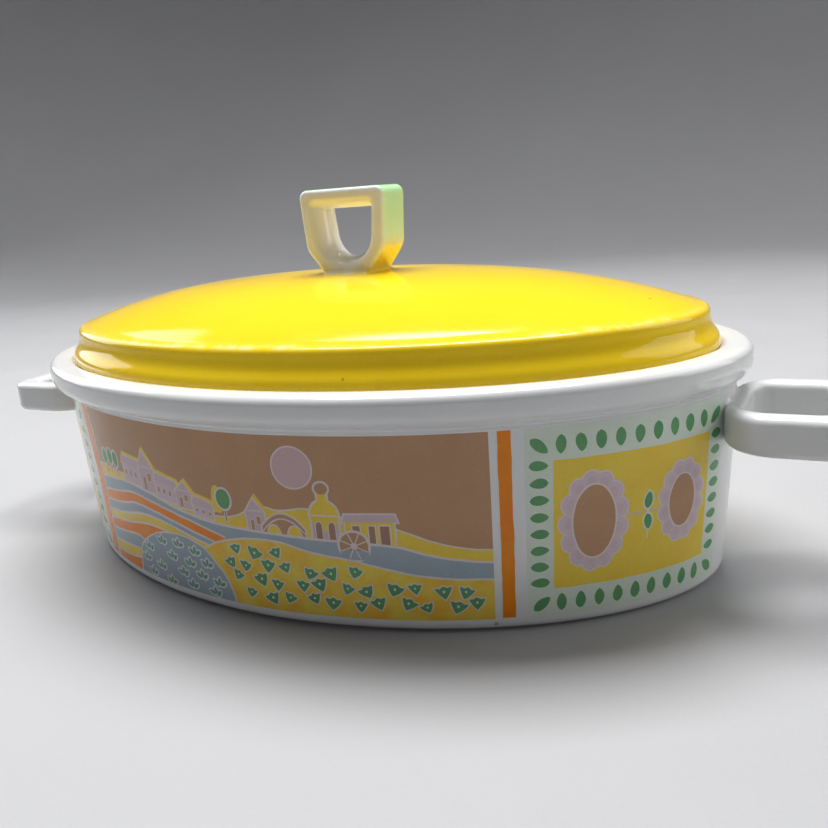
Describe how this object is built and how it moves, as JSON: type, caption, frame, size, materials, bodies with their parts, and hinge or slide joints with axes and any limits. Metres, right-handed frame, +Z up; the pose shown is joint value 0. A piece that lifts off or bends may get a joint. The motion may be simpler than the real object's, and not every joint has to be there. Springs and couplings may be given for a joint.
{
  "type": "covered casserole dish",
  "caption": "Oval porcelain casserole dish with a broad rim, a loop handle at each end, painted side panels and a domed yellow lid lifted by an upright loop.",
  "frame": {"origin": "centre of the dish's foot, on the surface that it stands on", "axes": "+X along the long axis towards one loop handle, +Y across the short axis, +Z up"},
  "size_m": [0.369, 0.194, 0.1438],
  "materials": {
    "white_glaze": "glossy white porcelain glaze",
    "yellow_glaze": "very glossy yellow glaze",
    "loop_glaze": "glossy white glaze shading to pale green and yellow on the outer faces",
    "painted_print": "coloured print under a glossy glaze",
    "bare_foot": "unglazed ground porcelain"
  },
  "bodies": {
    "dish": {"dish_body": "white_glaze", "side_handle_left": "white_glaze", "side_handle_right": "white_glaze"},
    "lid": {"lid_shell": "yellow_glaze", "lid_handle": "loop_glaze"}
  },
  "joints": [
    {"name": "lid_lift", "type": "slide", "parent": "dish", "child": "lid", "axis": [0, 0, 1], "range_m": [0, 0.12]}
  ]
}
